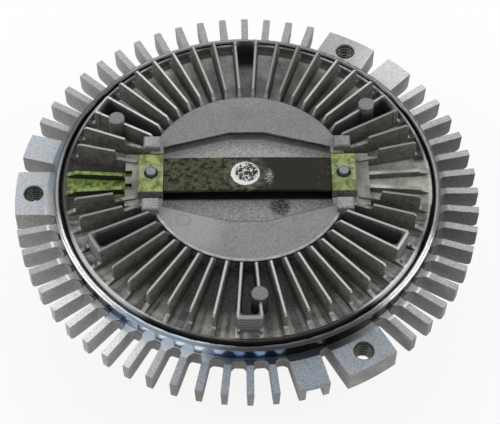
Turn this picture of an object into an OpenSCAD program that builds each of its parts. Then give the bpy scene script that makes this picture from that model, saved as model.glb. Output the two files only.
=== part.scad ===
// Viscous fan clutch: a finned housing and cover that turn on a drive hub, with a bimetal strip in front

/* [Housing] */
// Radius at the tips of the outer fins
fin_tip_r = 90; // [86:0.5:100]
// Outer radius of the housing wall that the outer fins stand on
wall_r = 74; // [72:0.5:75]
// Thickness of the rim that is rolled over the cover
rim_t = 1.2; // [1:0.1:1.6]
// Radius of the rolled bead along the rim's edge
rim_bead_r = 1.05; // [0.8:0.05:1.2]
// Height of the rolled rim above the outer fin tops
rim_h = 5.4; // [5:0.1:6]
// Width of the step that the cover sits on
ledge_w = 7.8; // [6:0.1:8.5]
// Depth of the working chamber below the cover's seat
chamber_h = 8; // [7.6:0.1:12]
// Thickness of the housing's floor
floor_t = 4; // [3:0.1:5]
// Height of the outer fins
outer_fin_h = 9.5; // [8.5:0.1:11]
// Width of an outer fin at its top
outer_fin_w = 2.8; // [2:0.1:3.4]
// Width of an outer fin at its foot
outer_fin_foot_w = 2; // [1.4:0.1:2.6]
// Radius of an outer fin's lower corner
outer_fin_round = 2.2; // [0.5:0.1:4]
// Width of a pair of outer fins under its plate
pair_w = 11.8; // [8:0.1:12]
// Thickness of the plate over a pair of outer fins
pair_plate_t = 1.8; // [1:0.1:3]
// Number of cooling ribs on the rear
rear_ribs = 24; // [12:1:30]
// Thickness of a rear cooling rib
rear_rib_t = 2.2; // [1.6:0.1:3]

/* [Fan bosses] */
// Width of a fan boss
boss_w = 20.6; // [16:0.1:21]
// Length of a fan boss outside its bolt's axis
boss_end = 7; // [5.5:0.1:8]
// Radius of the circle that the fan bolts stand on
fan_bolt_circle_r = 83; // [81:0.1:85]
// Core radius of the fan bolts' threads
fan_bolt_core_r = 3.4; // [2.5:0.05:4]
// Depth of the chamfer at the threads' mouths
fan_bolt_chamfer = 0.7; // [0.3:0.1:1]

/* [Cover] */
// Height of the cover's flange above its seat
flange_h = 6.3; // [6:0.1:7]
// Width of the cover's flange outside its fins
flange_w = 4.55; // [4.2:0.05:5.2]
// Width of the raised lip at the flange's edge
flange_lip_w = 1.2; // [1:0.1:1.6]
// Bevel at the lip's outer edge
flange_bevel = 0.4; // [0.2:0.1:0.6]
// Height of the channel floors above the cover's seat
channel_h = 5.2; // [4.8:0.1:5.6]
// Thickness of the cover's wall
cover_wall = 3; // [2.5:0.1:3.4]
// Height of the cover's fins at their outer ends, above the seat
fin_outer_h = 14.7; // [13.5:0.1:18]
// Height of the cover's fins at their inner ends, above the seat
fin_inner_h = 13.5; // [12.5:0.1:17]
// Thickness of a cover fin at its top
cover_fin_t = 1.1; // [0.8:0.1:1.6]
// Thickness of a cover fin at its foot
cover_fin_foot_t = 1.8; // [1:0.1:2.4]
// Thickness of the end wall that joins the fins of a U pocket
pocket_wall = 1.6; // [1.2:0.1:2.6]
// Radius of the round posts
post_r = 3.15; // [2:0.05:3.6]
// Radius of the circle that the posts stand on
post_circle_r = 56.6; // [52:0.1:60]
// Height of the posts above the seat
post_h = 15.8; // [14.8:0.1:20]
// Radius of the centre disc
disc_r = 39.2; // [38.4:0.1:40]
// Height of the centre disc above the seat
disc_h = 11.1; // [10.8:0.1:11.4]
// Radial gap between the cover and the housing's rim
cover_fit = 0.1; // [0.05:0.01:0.2]

/* [Cover seal] */
// Width of the groove that the seal lies in
seal_groove_w = 1.45; // [1.35:0.05:1.8]
// Radius of the seal's round section
seal_r = 0.6; // [0.45:0.05:0.65]

/* [Strip] */
// Half the length of the bimetal strip
strip_half_l = 41; // [39.5:0.1:41.4]
// Width of the strip
strip_w = 15.4; // [12:0.1:16]
// Thickness of the strip
strip_t = 1.3; // [1:0.05:1.4]
// Rise of the strip's middle over its ends
strip_bow = 0.7; // [0.3:0.05:0.9]
// Height of the strip's seats above the cover's seat
strip_seat_h = 10.55; // [10.3:0.05:10.7]
// Half the length of the trough under the strip
trough_half_l = 32.4; // [31:0.1:33]
// Half the width of the trough at its middle
trough_mid_w = 21.2; // [18:0.1:22]
// Half the width of the trough at its ends
trough_end_w = 14.1; // [12:0.1:15]
// Half the length of the trough's straight middle
trough_flat_l = 6.8; // [4:0.1:10]
// Height of the trough's floor above the cover's seat
trough_h = 6.4; // [6.2:0.1:7]
// Length of a strip clip along the strip
clip_l = 9.2; // [8:0.1:9.4]
// Thickness of the clips' sheet
clip_t = 0.9; // [0.6:0.05:1]
// Distance of the locating pegs from the axis
peg_x = 36.9; // [36:0.1:37.4]
// Radius of the locating pegs
peg_r = 2.05; // [1.5:0.05:2.4]
// Height of the pegs above the cover's seat
peg_h = 14.5; // [13.6:0.1:16]
// Height of the lugs beside the clips, above the cover's seat
lug_h = 14; // [12:0.1:15]

/* [Valve] */
// Radius of the control pin
pin_r = 2; // [1.5:0.05:2.5]
// Radial running clearance of the control pin
pin_fit = 0.06; // [0.03:0.01:0.1]
// Radius of the separator plate
separator_r = 41.8; // [41:0.1:42.4]
// Thickness of the separator plate
separator_t = 1; // [0.8:0.1:1.4]
// Radius of the fluid reservoir behind the centre disc
reservoir_r = 36.5; // [36:0.1:37.5]
// Thickness of the valve leaf
leaf_t = 0.5; // [0.3:0.05:0.6]
// Distance of the leaf's fixed edge from the axis
leaf_edge_y = 20; // [18:0.5:22]
// Distance of the feed port from the axis
port_y = 24; // [22:0.5:26]
// Radius of the feed port
port_r = 2.5; // [1.5:0.1:3.2]

/* [Rotor] */
// Thickness of the rotor's disc
rotor_t = 5.1; // [4.5:0.1:5.3]
// Gap between the rotor and the housing's floor
rotor_gap = 0.6; // [0.5:0.05:0.9]
// Radial gap between the rotor's rim and the chamber's wall
rotor_rim_gap = 1.5; // [1:0.1:3]
// Distance between neighbouring ring lands
land_pitch = 4; // [3.4:0.1:5]
// Thickness of a ring land
land_t = 1.6; // [1:0.05:1.65]

/* [Bearing and hub] */
// Bore radius of the ball bearing
bearing_bore_r = 10; // [10:0.1:10.4]
// Outer radius of the ball bearing
bearing_r = 23.5; // [23:0.1:24]
// Width of the ball bearing
bearing_w = 14; // [13:0.1:16]
// Number of balls
balls = 8; // [6:1:8]
// Radius of a ball
ball_r = 3.9; // [3.5:0.05:4]
// Wall of the housing's neck around the bearing
neck_wall = 6.5; // [5:0.1:8]
// Radius of the hub's flange
hub_flange_r = 29; // [24:0.5:32]
// Thickness of the hub's flange
hub_flange_t = 8; // [7:0.5:12]
// Length of the hub's neck between its flange and the bearing
hub_neck_l = 11; // [8:0.5:14]
// Radius of the hub's neck
hub_neck_r = 14; // [12.5:0.1:15]
// Radius of the pilot recess in the hub's rear face
pilot_r = 12.5; // [10:0.1:16]
// Depth of the pilot recess
pilot_depth = 4; // [3:0.1:5]
// Core radius of the centre bolt's thread
centre_core_r = 5.1; // [4:0.05:5.5]
// Depth of the centre bolt's thread below the recess
centre_depth = 22; // [16:0.5:26]
// Radius of the rotor's seat on the shaft
rotor_seat_r = 8.5; // [8:0.1:8.8]

/* [Hidden] */

$fn = 96;
round_fn = 180;
bow_fn = 1440;
sink = 1;
touch = 0.05;

// Heights above the hub's rear face
bearing_z = hub_flange_t + hub_neck_l;
bearing_top_z = bearing_z + bearing_w;
shoulder_h = 4.5;
floor_z = bearing_top_z + shoulder_h;
ledge_z = floor_z + chamber_h;
fin_over_ledge = 0.5;
fin_top_z = ledge_z + fin_over_ledge;
fin_foot_z = fin_top_z - outer_fin_h;
rim_top_z = fin_top_z + rim_h;
channel_z = ledge_z + channel_h;
flange_z = ledge_z + flange_h;
disc_z = ledge_z + disc_h;
trough_z = ledge_z + trough_h;
ceiling_z = channel_z - cover_wall;

// Radii of the housing and the cover
cover_bore_r = wall_r - rim_t;
chamber_r = cover_bore_r - ledge_w;
cover_r = cover_bore_r - cover_fit;
flange_r = cover_bore_r - seal_groove_w;
fin_end_r = flange_r - flange_w;
fin_inner_run = 2.4;
fin_inner_r = disc_r + fin_inner_run;
edge_break = 0.5;

// Housing details
wall_depth = 7.5;
dish_run = 8;
neck_r = bearing_r + neck_wall;
neck_draft = 1;
neck_round_run = 4;
neck_round_rise = 2.5;
shoulder_gap = 0.9;
neck_tail = 4;
clip_ring_t = 1.2;
clip_ring_w = 1.3;
clip_groove_depth = 1.3;
boss_first = 60;
boss_step = 120;
fin_pitch = 6;
plain_fins = 15;
first_plain_fin = 12;
pair_turn = -15;
rim_lap = 0.1;
rim_bead_reach = 0.4;
relief_w = 3.8;
relief_h = 1.9;
ring_t = 1.2;
ring_r = wall_r + ring_t;
ring_setback = 0.6;
root_w = 1.8;
root_l = 1.6;
root_sink = 0.4;
root_lift = 0.4;
rear_rib_setback = 1;
rear_rib_land = 4;
rear_rib_tail_h = 2.5;

// Cover details
seal_step_h = 2.8;
cover_places = 48;
cover_pitch = 360 / cover_places;
pocket_step = 60;
pocket_first = 30;
pocket_arch_l = 3;
arch_t = 1.4;
pocket_round = 1.6;
arch_over = 0.03;
arch_top_z = ledge_z + fin_outer_h + arch_over;
lip_run = 1.6;
disc_draft = 1.4;
fin_slope_run = 2.2;
fin_corner = 0.9;
toe_t = 1.7;
toe_h = 2.7;
post_chamfer = 0.3;
block_draft = 0.3;
block_bevel = 0.5;
cover_skirt_gap = 0.4;
land_reach = 3.9;
separator_seat_run = 2.8;
separator_rim_w = 1.1;
separator_rim_gap = 0.2;
separator_fit = 0.1;
reservoir_slope_h = 2.5;
separator_drop = 1;
separator_z = ledge_z - separator_drop;
reservoir_top_z = disc_z - cover_wall - edge_break;
trough_wall = 3.5;
guide_r = 5.5;
guide_h = 2.1;

// Strip ends
end_wall_x = 42.5;
end_wall_l = 4.5;
end_wall_w = 12.4;
end_wall_h = 8.7;
end_notch_l = 2.6;
end_notch_w = 2.8;
end_notch_depth = 2;
low_rib_h = 8.1;
near_step_run = 5;
near_step_r = end_wall_x + end_wall_l + near_step_run;
near_step_h = 9.5;
far_step_run = 3;
far_step_r = end_wall_x + end_wall_l + far_step_run;
far_step_h = 11.3;
clip_gap = 0.2;
clip_side_in = strip_w / 2 + clip_gap;
clip_side_out = clip_side_in + clip_t;
clip_x = peg_x - clip_l / 2;
notch_room = 2;
notch_w = clip_side_out + notch_room;
seat_w = strip_w / 2 - clip_gap;
peg_play = 0.6;
lug_wall = 1;
lug_in = notch_w + lug_wall;
lug_w = 6;
lug_l = 7;
strip_mid_z = ledge_z + strip_seat_h + touch + strip_t + strip_bow;
strip_curve_r = (strip_half_l * strip_half_l + strip_bow * strip_bow) / (2 * strip_bow);
strip_at_clip_z = strip_mid_z - strip_bow * pow(clip_x / strip_half_l, 2);
clip_z = strip_at_clip_z + 2 * touch;

// Valve details
leaf_z = separator_z + touch;
leaf_root_w = 12;
leaf_lap = 1.5;
leaf_tip_r = port_r + leaf_lap;
leaf_arm_w = 6;
leaf_root_l = 6;
rivet_y = leaf_edge_y - leaf_root_l / 2;
rivet_x = 3.2;
rivet_r = 1;
rivet_head_r = 1.9;
rivet_head_h = 0.8;
rivet_lift = 0.45;
rivet_play = 0.3;
pin_bottom_z = leaf_z + leaf_t + touch;
pin_top_z = strip_mid_z - strip_t - touch;
pin_groove_w = 1.1;
pin_groove_depth = 0.8;
pin_groove_r = pin_r - pin_groove_depth;
pin_groove_drop = 1.5;
pin_groove_z = trough_z - pin_groove_drop;
pin_ring_r = 0.4;

// Rotor details
rotor_r = chamber_r - rotor_rim_gap;
rotor_z = floor_z + rotor_gap;
rotor_face_z = rotor_z + rotor_t;
rotor_well_gap = 0.1;
rotor_well_r = separator_r + separator_fit + separator_rim_w + rotor_well_gap;
rotor_well_depth = 2.7;
rotor_well_z = rotor_face_z - rotor_well_depth;
rotor_boss_r = 13;
rotor_bore_fit = 0.02;
land_end_gap = 0.6;
land_top_z = ceiling_z - land_end_gap;
first_land_in = 2;
first_land_r = rotor_well_r + first_land_in;
rotor_hole_r = 3;
rotor_hole_circle_r = 27;
rotor_holes = 6;
wiper_l = 8;
wiper_w = 2.6;
wiper_gap = 0.4;
land_room = rotor_r - wiper_w - wiper_gap - land_t / 2 - first_land_r;
lands = floor(land_room / land_pitch + 0.5);

// Bearing and hub details
pitch_r = (bearing_bore_r + bearing_r) / 2;
bearing_mid_z = bearing_z + bearing_w / 2;
race_play = 0.2;
race_r = ball_r + race_play;
race_lip = 2.35;
inner_shoulder_r = pitch_r - race_lip;
outer_shoulder_r = pitch_r + race_lip;
cage_t = 1.7;
cage_w = 10.4;
shield_t = 0.8;
shield_inset = 0.5;
shield_bite = 0.2;
shield_r = outer_shoulder_r + shield_bite;
shield_gap = 0.3;
bearing_fit = 0.01;
shaft_stub_l = 2.1;
shaft_end_z = rotor_well_z + shaft_stub_l;
ring_gap = 0.2;
shaft_ring_t = 1;
shaft_groove_depth = 1;
shaft_groove_r = rotor_seat_r - shaft_groove_depth;
shaft_ring_w = 2.4;
shaft_ring_opening = 4;
bearing_ring_w = 3.25;
bearing_ring_opening = 8;
hub_chamfer = 1;

function boss_angles() = [for (i = [0:2]) boss_first + i * boss_step];
function pocket_angles() = [for (i = [0:5]) pocket_first + i * pocket_step];
function cover_angles() = [for (i = [0:cover_places - 1]) (i + 0.5) * cover_pitch];
function off_strip(a) = min(a % 180, 180 - a % 180);
function from_pocket(a) = let (d = (a - pocket_first + 360) % pocket_step) min(d, pocket_step - d);
function beside_pocket(a) = from_pocket(a) < cover_pitch;
function fin_top_at(r) =
    ledge_z + fin_inner_h + (fin_outer_h - fin_inner_h) * (r - fin_inner_r) / (fin_end_r - fin_inner_r);

// Outline of the trough under the strip, seen from the front, with its edges moved out by grow
function trough_outline(grow) = let (
    l = trough_half_l + grow,
    e = trough_end_w + grow,
    m = trough_mid_w + grow,
    c = trough_flat_l
) [[-l, -e], [-c, -m], [c, -m], [l, -e], [l, e], [c, m], [-c, m], [-l, e]];

// A plate that stands on a radius, from its outline in radius and height
module radial_plate(outline, t) {
    rotate([90, 0, 0]) linear_extrude(t, center = true) polygon(outline);
}

// A flat ring between two radii
module ring(r_in, r_out, z, h) {
    translate([0, 0, z]) difference() {
        cylinder(r = r_out, h = h, $fn = round_fn);
        translate([0, 0, -sink]) cylinder(r = r_in, h = h + 2 * sink, $fn = round_fn);
    }
}

// Children copied to both ends of the strip
module both_ends() {
    for (a = [0, 180]) rotate(a) children();
}

// Section of the turned part of the housing
module housing_section() {
    rear_z = floor_z - floor_t;
    wall_foot_z = fin_top_z - wall_depth;
    groove_z = bearing_z - clip_ring_w;
    tail_z = bearing_z - neck_tail;
    polygon([
        [bearing_r, tail_z],
        [neck_r - hub_chamfer, tail_z],
        [neck_r, tail_z + hub_chamfer],
        [neck_r + neck_draft, rear_z - neck_round_rise],
        [neck_r + neck_round_run, rear_z],
        [wall_r - dish_run, rear_z],
        [wall_r, wall_foot_z],
        [wall_r, rim_top_z - rim_bead_r],
        [cover_bore_r, rim_top_z - rim_bead_r],
        [cover_bore_r, ledge_z],
        [chamber_r, ledge_z],
        [chamber_r, floor_z],
        [outer_shoulder_r + shoulder_gap, floor_z],
        [outer_shoulder_r + shoulder_gap, bearing_top_z],
        [bearing_r, bearing_top_z],
        [bearing_r, bearing_z],
        [bearing_r + clip_groove_depth, bearing_z],
        [bearing_r + clip_groove_depth, groove_z],
        [bearing_r, groove_z]
    ]);
    rim_bead_section();
}

// Section of the rim's rolled edge, a bead that reaches in over the seal
module rim_bead_section() {
    bead_z = rim_top_z - rim_bead_r;
    out_r = cover_bore_r - rim_lap + rim_bead_r;
    in_r = out_r - rim_bead_reach;
    for (r = [in_r, out_r]) translate([r, bead_z]) circle(rim_bead_r, $fn = 48);
}

// Section that rounds the outer fins' lower corners
module outer_fin_envelope() {
    root_r = wall_r - 2 * sink;
    run = fin_tip_r - root_r;
    translate([root_r, fin_foot_z + outer_fin_round]) square([run, outer_fin_h - outer_fin_round]);
    translate([root_r, fin_foot_z]) square([run - outer_fin_round, outer_fin_h]);
    translate([fin_tip_r - outer_fin_round, fin_foot_z + outer_fin_round])
        circle(outer_fin_round, $fn = 64);
}

// One outer fin with drafted sides, beside its radius by shift
module outer_fin(shift = 0) {
    top = outer_fin_w / 2;
    foot = outer_fin_foot_w / 2;
    translate([wall_r - sink, shift, fin_top_z]) rotate([90, 0, 90])
        linear_extrude(fin_tip_r - wall_r + 2 * sink)
            polygon([[-top, 0], [top, 0], [foot, -outer_fin_h], [-foot, -outer_fin_h]]);
}

// Root of an outer fin, which widens in hollow steps to the cast ring, beside the fin's radius by shift
module fin_root(shift = 0) {
    top = outer_fin_w / 2;
    z = fin_top_z - wall_depth + ring_setback + root_lift;
    side = [
        [wall_r - root_sink, top + root_w + 2 * root_sink],
        [ring_r - 2 * root_sink, top + root_w + 2 * root_sink],
        [ring_r + root_l / 3, top + root_w / 3],
        [ring_r + root_l + root_sink, top - root_sink]
    ];
    other = [for (i = [3:-1:0]) [side[i][0], -side[i][1]]];
    translate([0, shift, z]) linear_extrude(fin_top_z - touch - z) polygon(concat(side, other));
}

// Two outer fins joined by a plate at their tops
module fin_pair() {
    for (s = [-1, 1]) outer_fin(s * (pair_w - outer_fin_w) / 2);
    translate([wall_r - sink, -pair_w / 2, fin_top_z - pair_plate_t])
        cube([fin_tip_r - wall_r + 2 * sink, pair_w, pair_plate_t]);
}

module outer_fins() {
    intersection() {
        for (b = boss_angles()) {
            for (i = [0:plain_fins - 1]) rotate(b + first_plain_fin + i * fin_pitch) outer_fin();
            rotate(b + pair_turn) fin_pair();
        }
        rotate_extrude($fn = round_fn) outer_fin_envelope();
    }
}

// Roots of all outer fins, and the cast ring that they stand on
module fin_roots() {
    ring_z = fin_top_z - wall_depth + ring_setback;
    ring(wall_r - sink, ring_r, ring_z, fin_top_z - 2 * touch - ring_z);
    for (b = boss_angles()) {
        for (i = [0:plain_fins - 1]) rotate(b + first_plain_fin + i * fin_pitch) fin_root();
        for (s = [-1, 1]) rotate(b + pair_turn) fin_root(s * (pair_w - outer_fin_w) / 2);
    }
}

module fan_bosses() {
    boss_end_r = fan_bolt_circle_r + boss_end;
    intersection() {
        for (b = boss_angles()) rotate(b) translate([wall_r - sink, -boss_w / 2, fin_foot_z])
            cube([boss_end_r - wall_r + 2 * sink, boss_w, outer_fin_h]);
        translate([0, 0, fin_foot_z - sink])
            cylinder(r = boss_end_r, h = outer_fin_h + 2 * sink, $fn = round_fn);
    }
}

module fan_bolt_holes() {
    mouth_r = fan_bolt_core_r + fan_bolt_chamfer;
    for (b = boss_angles()) rotate(b) translate([fan_bolt_circle_r, 0, 0]) {
        translate([0, 0, fin_foot_z - sink]) cylinder(r = fan_bolt_core_r, h = outer_fin_h + 2 * sink);
        translate([0, 0, fin_top_z - fan_bolt_chamfer])
            cylinder(r1 = fan_bolt_core_r, r2 = mouth_r, h = fan_bolt_chamfer);
    }
}

module rear_cooling_ribs() {
    rear_z = floor_z - floor_t;
    rib_end_r = wall_r - dish_run - edge_break;
    outline = [
        [neck_r - sink, rear_z + sink],
        [neck_r - sink, bearing_z + rear_rib_setback],
        [neck_r + rear_rib_land, bearing_z + rear_rib_setback],
        [rib_end_r - rear_rib_land, rear_z - rear_rib_tail_h],
        [rib_end_r, rear_z],
        [rib_end_r, rear_z + sink]
    ];
    for (i = [0:rear_ribs - 1]) rotate((i + 0.5) * 360 / rear_ribs) radial_plate(outline, rear_rib_t);
}

// Slope that is turned into the inner ends of the outer fins and bosses, beside the rim
module rim_relief() {
    rotate_extrude($fn = round_fn) polygon([
        [wall_r - 2 * sink, fin_top_z - relief_h],
        [wall_r, fin_top_z - relief_h],
        [wall_r + relief_w, fin_top_z],
        [wall_r + relief_w, fin_top_z + sink],
        [wall_r - 2 * sink, fin_top_z + sink]
    ]);
}

module rear_housing() {
    color([0.74, 0.75, 0.77]) union() {
        rotate_extrude($fn = round_fn) housing_section();
        difference() {
            union() {
                outer_fins();
                fan_bosses();
                fin_roots();
            }
            fan_bolt_holes();
            rim_relief();
        }
        rear_cooling_ribs();
    }
}

// Section of the turned part of the cover, with the reservoir and the separator plate's seat under it
module cover_section() {
    seat_r = separator_r + separator_fit;
    rim_r = seat_r + separator_rim_w;
    rim_z = separator_z - separator_t + separator_rim_gap;
    inner_r = chamber_r - cover_skirt_gap;
    polygon([
        [0, disc_z],
        [disc_r - edge_break, disc_z],
        [disc_r, disc_z - edge_break],
        [disc_r + disc_draft, channel_z],
        [flange_r - flange_lip_w - lip_run, channel_z],
        [flange_r - flange_lip_w, flange_z],
        [flange_r - flange_bevel, flange_z],
        [flange_r, flange_z - flange_bevel],
        [flange_r, ledge_z + seal_step_h],
        [cover_r, ledge_z + seal_step_h],
        [cover_r, ledge_z],
        [inner_r, ledge_z],
        [inner_r, ceiling_z],
        [rim_r, ceiling_z],
        [rim_r, rim_z],
        [seat_r, rim_z],
        [seat_r, separator_z],
        [seat_r - separator_seat_run, separator_z],
        [reservoir_r, separator_z + reservoir_slope_h],
        [reservoir_r, reservoir_top_z],
        [0, reservoir_top_z]
    ]);
}

// Outline of a cover fin that runs from the disc to a radius near the flange
function full_fin_outline(end_r) = [
    [disc_r - sink, channel_z - sink],
    [end_r, channel_z - sink],
    [end_r, fin_top_at(end_r) - fin_corner],
    [end_r - fin_corner, fin_top_at(end_r)],
    [fin_inner_r, ledge_z + fin_inner_h],
    [fin_inner_r - fin_slope_run, disc_z - sink],
    [disc_r - sink, disc_z - sink]
];

// Outline of a U pocket's arch, which stands a little over the fins that it joins
function arch_outline() = [
    [fin_end_r - 2 * pocket_arch_l, channel_z - sink],
    [fin_end_r + sink, channel_z - sink],
    [fin_end_r + sink, arch_top_z - fin_corner],
    [fin_end_r * cos(cover_pitch / 2), arch_top_z - fin_corner],
    [fin_end_r * cos(cover_pitch / 2) - fin_corner, arch_top_z],
    [fin_end_r - 2 * pocket_arch_l, arch_top_z]
];

// Outline of a cover fin that steps down at step_r, next to the strip's end
function stepped_fin_outline(step_r, low_r, low_z) = [
    [low_r, channel_z - sink],
    [fin_end_r, channel_z - sink],
    [fin_end_r, ledge_z + fin_outer_h - fin_corner],
    [fin_end_r - fin_corner, ledge_z + fin_outer_h],
    [step_r, fin_top_at(step_r)],
    [step_r - edge_break, low_z],
    [low_r, low_z]
];

// Outline of a low rib between the end wall and the flange
function low_rib_outline() = [
    [end_wall_x + sink, channel_z - sink],
    [fin_end_r, channel_z - sink],
    [fin_end_r, ledge_z + low_rib_h],
    [end_wall_x + sink, ledge_z + low_rib_h]
];

// Outline of a cover fin by how far it lies from the strip's line
function cover_fin_outline(a) = let (steps = round(off_strip(a) / cover_pitch - 0.5))
    steps == 0 ? low_rib_outline()
    : steps == 1 ? stepped_fin_outline(near_step_r, end_wall_x + sink, ledge_z + near_step_h)
    : steps == 2 ? stepped_fin_outline(far_step_r, disc_r - sink, ledge_z + far_step_h)
    : full_fin_outline(beside_pocket(a) ? fin_end_r - pocket_arch_l / 2 : fin_end_r);

// A plate on a radius that is thinner at the fins' tops than at their feet
module drafted_fin(outline) {
    top = cover_fin_t / 2;
    rise = fin_outer_h - channel_h;
    draft = (cover_fin_foot_t - cover_fin_t) / 2 / rise;
    root = cover_fin_foot_t / 2 + 2 * sink * draft;
    intersection() {
        radial_plate(outline, 2 * cover_fin_foot_t);
        translate([0, 0, channel_z]) rotate([90, 0, 90]) linear_extrude(fin_end_r + sink)
            polygon([[-root, -2 * sink], [root, -2 * sink], [top, rise], [-top, rise]]);
    }
}

module cover_fins() {
    for (a = cover_angles()) rotate(a) drafted_fin(cover_fin_outline(a));
}

// Low toes that run from the fins' outer ends down to the flange's lip
module fin_toes() {
    toe_end_r = flange_r - flange_lip_w / 2;
    outline = [
        [fin_end_r - sink, channel_z - sink],
        [toe_end_r, channel_z - sink],
        [toe_end_r, flange_z - touch],
        [fin_end_r - sink, channel_z + toe_h]
    ];
    for (a = cover_angles()) rotate(a) radial_plate(outline, toe_t);
}

// Outline of a bar along X that ends at x1 with rounded corners
module rounded_bar(x0, x1, half_w, r) {
    translate([x0, -half_w]) square([x1 - r - x0, 2 * half_w]);
    translate([x0, r - half_w]) square([x1 - x0, 2 * (half_w - r)]);
    for (s = [-1, 1]) translate([x1 - r, s * (half_w - r)]) circle(r, $fn = 48);
}

// Arches that join two fins at their outer ends
module pocket_arches() {
    half = cover_pitch / 2;
    edge = arch_t / 2;
    face_x = fin_end_r * cos(half);
    back_x = face_x - pocket_arch_l;
    out_w = face_x * tan(half) + edge;
    hole_w = back_x * tan(half) - edge;
    for (a = pocket_angles()) rotate(a) intersection() {
        radial_plate(arch_outline(), 4 * out_w);
        translate([0, 0, channel_z - sink]) linear_extrude(fin_outer_h) difference() {
            rounded_bar(back_x, face_x, out_w, pocket_round);
            rounded_bar(back_x - sink, face_x - pocket_wall, hole_w, pocket_round);
        }
    }
}

module casting_posts() {
    for (i = [0:2]) rotate(pocket_first + cover_pitch / 2 + i * boss_step)
        translate([post_circle_r, 0, channel_z - sink]) {
            cylinder(r = post_r, h = post_h - channel_h + sink - post_chamfer, $fn = 48);
            translate([0, 0, post_h - channel_h + sink - post_chamfer])
                cylinder(r1 = post_r, r2 = post_r - post_chamfer, h = post_chamfer, $fn = 48);
        }
}

// Lands on the cover's underside that stand between the rotor's lands
module cover_lands() {
    for (i = [0:lands - 1]) let (r = first_land_r + (i + 0.5) * land_pitch)
        ring(r - land_t / 2, r + land_t / 2, ceiling_z - land_reach, land_reach + sink);
}

// Side of a block that leans in towards its top, where its edges are bevelled
function block_side(half, h) = [
    [-half, 0],
    [half, 0],
    [half - block_draft, h - block_bevel],
    [half - block_draft - block_bevel, h],
    [block_draft + block_bevel - half, h],
    [block_draft - half, h - block_bevel]
];

module drafted_block(l, w, h) {
    intersection() {
        rotate([90, 0, 0]) linear_extrude(w, center = true) polygon(block_side(l / 2, h));
        rotate([90, 0, 90]) linear_extrude(l, center = true) polygon(block_side(w / 2, h));
    }
}

// Blocks at both ends of the strip: end walls and the lugs beside the clips
module strip_holders() {
    both_ends() {
        translate([trough_half_l, -end_wall_w, channel_z - sink])
            cube([end_wall_x + end_wall_l - trough_half_l, 2 * end_wall_w, end_wall_h - channel_h + sink]);
        for (s = [-1, 1])
            translate([peg_x, s * (lug_in + lug_w / 2), channel_z - sink])
                drafted_block(lug_l, lug_w, lug_h - channel_h + sink);
    }
}

// Two notches in the left end wall, where the low ribs meet it
module end_wall_notches() {
    wall_end_x = end_wall_x + end_wall_l;
    for (s = [-1, 1])
        translate([-wall_end_x - sink, s * wall_end_x * tan(cover_pitch / 2) - end_notch_w / 2,
                   ledge_z + end_wall_h - end_notch_depth])
            cube([end_notch_l + sink, end_notch_w, end_notch_depth + sink]);
}

// Notches in the disc that the clips stand in
module clip_notches() {
    both_ends() translate([trough_half_l - sink, -notch_w, ledge_z + end_wall_h])
        cube([end_wall_x - trough_half_l + sink, 2 * notch_w, disc_h]);
}

// Seats under the strip's ends, with the pegs that locate strip and clip
module strip_seats() {
    both_ends() {
        translate([trough_half_l, -seat_w, ledge_z + end_wall_h - sink])
            cube([end_wall_x - edge_break - trough_half_l, 2 * seat_w, strip_seat_h - end_wall_h + sink]);
        translate([peg_x, 0, ledge_z + end_wall_h]) cylinder(r = peg_r, h = peg_h - end_wall_h, $fn = 48);
    }
}

// Wall of the trough, which hangs into the reservoir
module trough_shell() {
    translate([0, 0, trough_z - trough_wall]) linear_extrude(disc_z - edge_break - trough_z + trough_wall)
        polygon(trough_outline(cover_wall));
}

module front_cover() {
    color([0.5, 0.5, 0.49]) difference() {
        union() {
            difference() {
                union() {
                    rotate_extrude($fn = round_fn) cover_section();
                    trough_shell();
                    cover_fins();
                    fin_toes();
                    pocket_arches();
                    casting_posts();
                    cover_lands();
                    strip_holders();
                }
                translate([0, 0, trough_z]) linear_extrude(disc_h) polygon(trough_outline(0));
                clip_notches();
                end_wall_notches();
            }
            strip_seats();
            translate([0, 0, trough_z - sink]) cylinder(r = guide_r, h = guide_h + sink, $fn = 64);
        }
        translate([0, 0, ledge_z - sink]) cylinder(r = pin_r + pin_fit, h = disc_h + 2 * sink, $fn = 64);
    }
}

module cover_seal() {
    color([0.05, 0.05, 0.05]) rotate_extrude($fn = round_fn)
        translate([cover_bore_r - seal_groove_w / 2, ledge_z + seal_step_h + seal_r + touch])
            circle(seal_r, $fn = 48);
}

module bimetal_strip() {
    color([0.2, 0.2, 0.15]) difference() {
        rotate([90, 0, 0]) linear_extrude(strip_w, center = true) intersection() {
            translate([0, strip_mid_z - strip_curve_r]) difference() {
                circle(strip_curve_r, $fn = bow_fn);
                circle(strip_curve_r - strip_t, $fn = bow_fn);
            }
            translate([-strip_half_l, strip_mid_z - 2 * strip_t - strip_bow])
                square([2 * strip_half_l, 2 * strip_t + strip_bow + sink]);
        }
        both_ends() translate([peg_x, 0, ledge_z]) cylinder(r = peg_r + peg_play, h = fin_outer_h, $fn = 48);
    }
}

// Sheet clip that is folded down at both sides of the strip
module strip_clip() {
    skirt_z = ledge_z + end_wall_h + touch;
    difference() {
        union() {
            translate([clip_x, -clip_side_out, clip_z]) cube([clip_l, 2 * clip_side_out, clip_t]);
            for (s = [-1, 1]) translate([clip_x, s * (clip_side_in + clip_t / 2) - clip_t / 2, skirt_z])
                cube([clip_l, clip_t, clip_z + clip_t - skirt_z]);
        }
        translate([peg_x, 0, clip_z - sink]) cylinder(r = peg_r + peg_play, h = clip_t + 2 * sink, $fn = 48);
    }
}

module left_strip_clip() {
    color([0.6, 0.68, 0.28]) rotate(180) strip_clip();
}

module right_strip_clip() {
    color([0.6, 0.68, 0.28]) strip_clip();
}

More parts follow.
